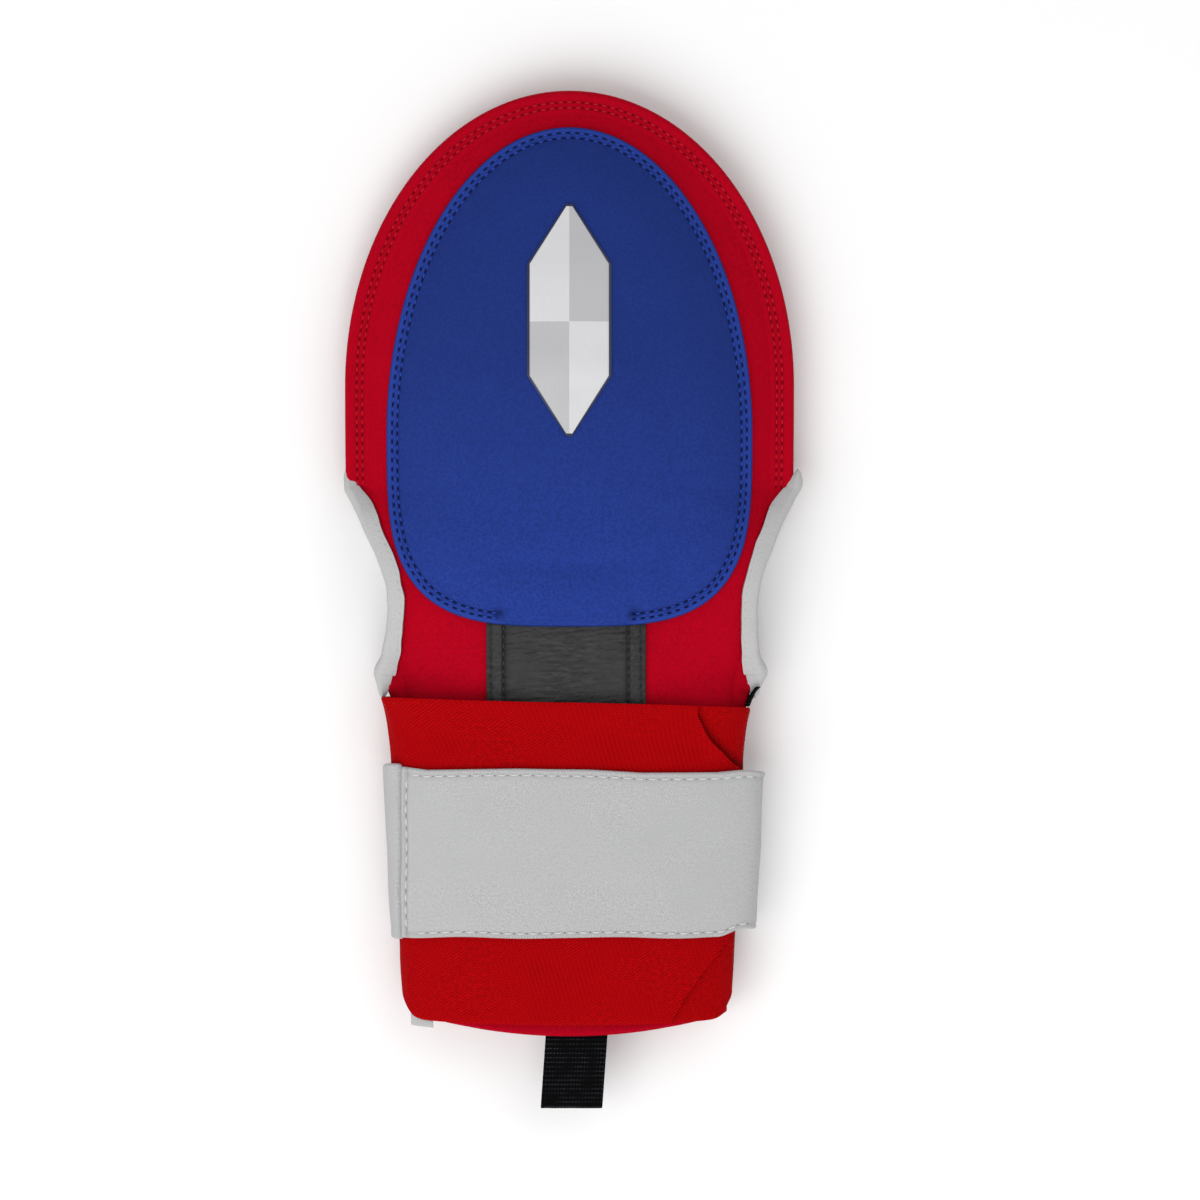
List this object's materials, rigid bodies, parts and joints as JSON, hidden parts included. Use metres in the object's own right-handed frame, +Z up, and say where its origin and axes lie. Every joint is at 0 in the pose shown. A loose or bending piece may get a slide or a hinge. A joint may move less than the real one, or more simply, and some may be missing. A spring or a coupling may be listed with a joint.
{
  "type": "sliding mitt",
  "caption": "Padded sliding mitt for one hand, with thumb holes on both sides, an elastic wrist band, a wrap-round closure strap and a pull tab.",
  "frame": {"origin": "on the surface that the mitt lies on, under the middle of its bounding box", "axes": "+Y to the fingertip end, +X to the right when the back of the hand faces up, +Z up through the back of the hand"},
  "size_m": [0.1394, 0.3102, 0.0395],
  "materials": {
    "red_shell": "matte woven shell cloth over foam padding",
    "red_elastic": "matte ribbed elastic webbing",
    "blue_shell": "matte woven shell cloth over foam padding",
    "grey_cloth": "matte light grey woven cloth",
    "black_leather": "soft grained synthetic leather",
    "black_web": "matte black webbing",
    "silver_badge": "satin moulded emblem with plain facets"
  },
  "bodies": {
    "root": {"back_panel": "red_shell", "palm_panel": "red_shell", "wrist_sleeve": "red_shell", "thumb_binding_left": "grey_cloth", "thumb_binding_right": "grey_cloth", "back_pad": "blue_shell", "badge": "silver_badge", "flex_strip": "black_leather", "side_gusset": "black_web", "elastic_cuff": "red_elastic", "elastic_wrap": "red_elastic", "closure_strap": "grey_cloth", "pull_tab": "black_web", "side_label": "grey_cloth"}
  },
  "joints": []
}
